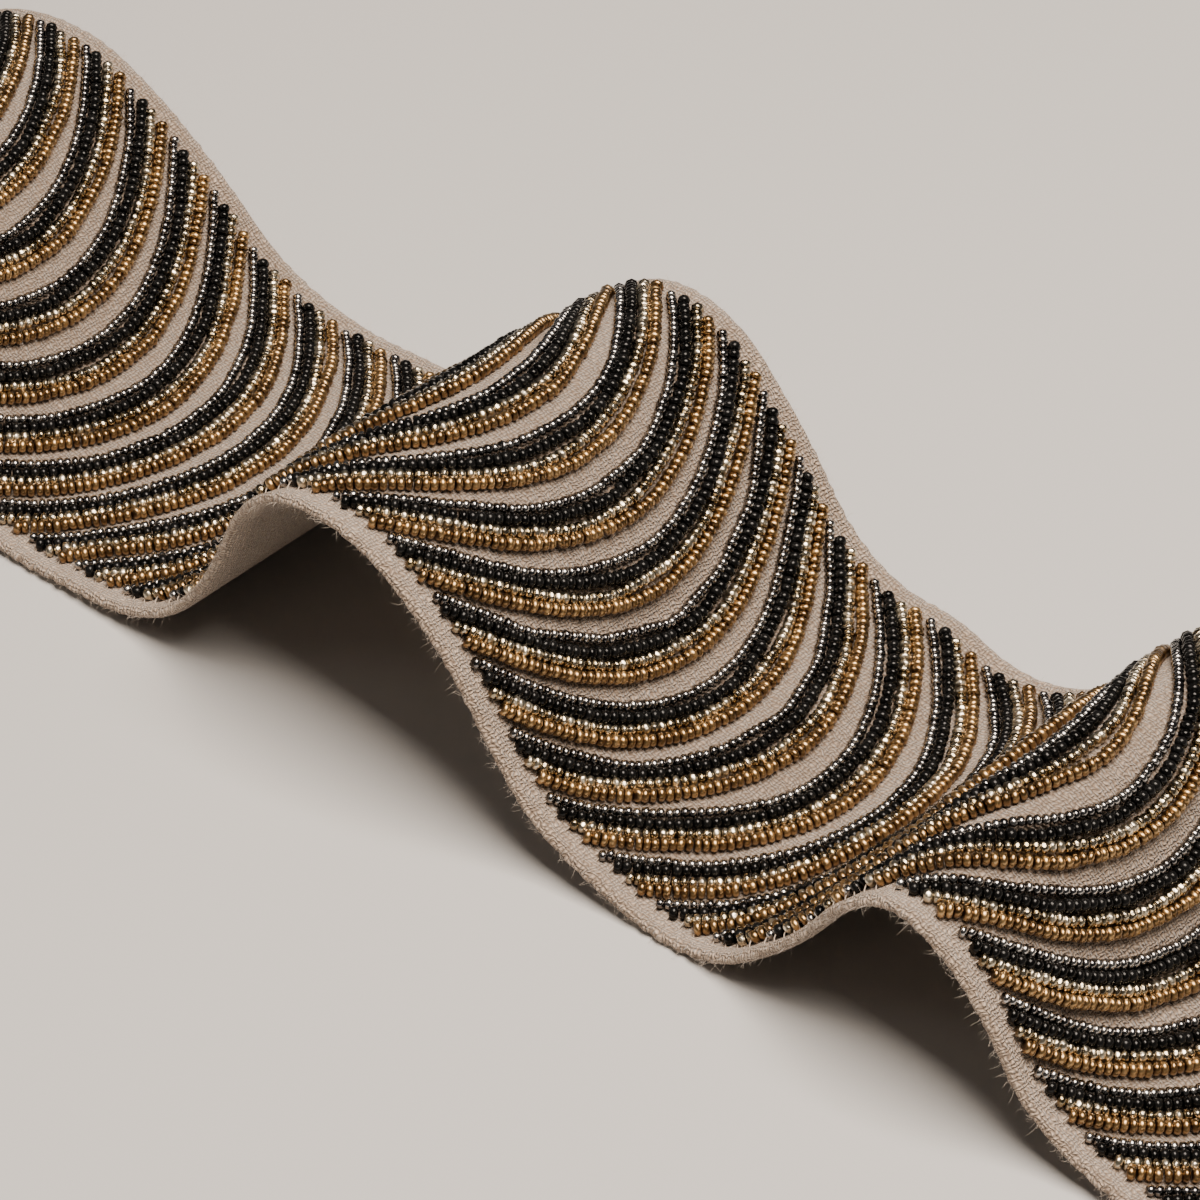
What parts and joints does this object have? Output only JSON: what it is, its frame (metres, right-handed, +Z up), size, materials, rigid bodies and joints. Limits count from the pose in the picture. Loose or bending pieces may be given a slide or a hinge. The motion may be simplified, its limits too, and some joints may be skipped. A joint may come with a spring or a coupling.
{
  "type": "beaded tape",
  "caption": "Cut length of woven linen-look tape with arched rows of small beads sewn side by side across it, standing in uneven waves.",
  "frame": {"origin": "bottom centre of the tape's bounding box, on the surface that it stands on", "axes": "+X along the tape, the way its bead rows arch; +Y across it, from the near edge to the far one; +Z up"},
  "size_m": [0.3856, 0.076, 0.0443],
  "materials": {
    "linen_tape": "matte ribbed weave with stray fibres",
    "steel_beads": "metallic grey, glossy",
    "black_beads": "opaque black, glossy",
    "crystal_beads": "clear champagne with a silver lining",
    "gold_beads": "metallic old gold, glossy"
  },
  "bodies": {
    "root": {"beaded_tape": "linen_tape"}
  },
  "joints": []
}
